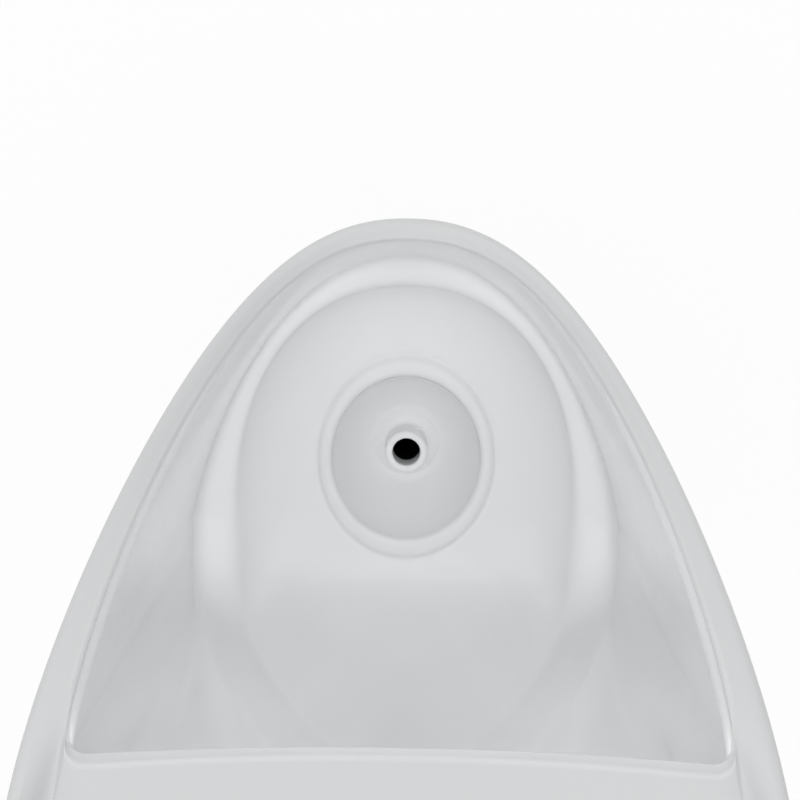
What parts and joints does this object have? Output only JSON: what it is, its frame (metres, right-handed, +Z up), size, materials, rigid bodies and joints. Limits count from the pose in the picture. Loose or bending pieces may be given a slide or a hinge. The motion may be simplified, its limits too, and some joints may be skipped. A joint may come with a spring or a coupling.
{
  "type": "floor-standing urinal",
  "caption": "Floor-standing ceramic urinal with a tall rolled rim, an oval drain well with a standpipe, a top flush inlet, and its trap and brackets in the hollow pedestal.",
  "frame": {"origin": "on the floor, centred on the width and depth of the whole part", "axes": "+Z up, +Y towards the wall behind the urinal, -Y towards the user, +X to the user's right"},
  "size_m": [0.414, 0.38, 0.9115],
  "materials": {
    "ceramic": "glossy white glaze",
    "white_plastic": "moulded, semi-gloss",
    "grey_plastic": "moulded, fine grain",
    "black_rubber": "matte",
    "chrome": "polished",
    "zinc_steel": "zinc plated"
  },
  "bodies": {
    "root": {"ceramic_body": "ceramic", "waste_standpipe": "white_plastic", "waste_seal": "black_rubber", "waste_washer": "black_rubber", "waste_backnut": "grey_plastic", "trap_inlet_nut": "grey_plastic", "trap_inlet_washer": "black_rubber", "trap_body": "white_plastic", "trap_cup_seal": "black_rubber", "trap_cup": "grey_plastic", "trap_outlet_washer": "black_rubber", "trap_outlet_nut": "grey_plastic", "outlet_bend": "white_plastic", "floor_socket_seal": "black_rubber", "flush_spreader": "chrome", "spreader_gasket": "black_rubber", "spreader_washer": "black_rubber", "spreader_nut": "chrome", "inlet_spud": "chrome", "spud_gasket": "black_rubber", "spud_washer": "black_rubber", "spud_nut": "chrome", "flush_elbow": "black_rubber", "hose_clamps": "zinc_steel", "floor_brackets": "zinc_steel", "bracket_nuts": "zinc_steel", "side_screws": "zinc_steel", "screw_washers": "white_plastic", "screw_caps": "white_plastic"}
  },
  "joints": []
}
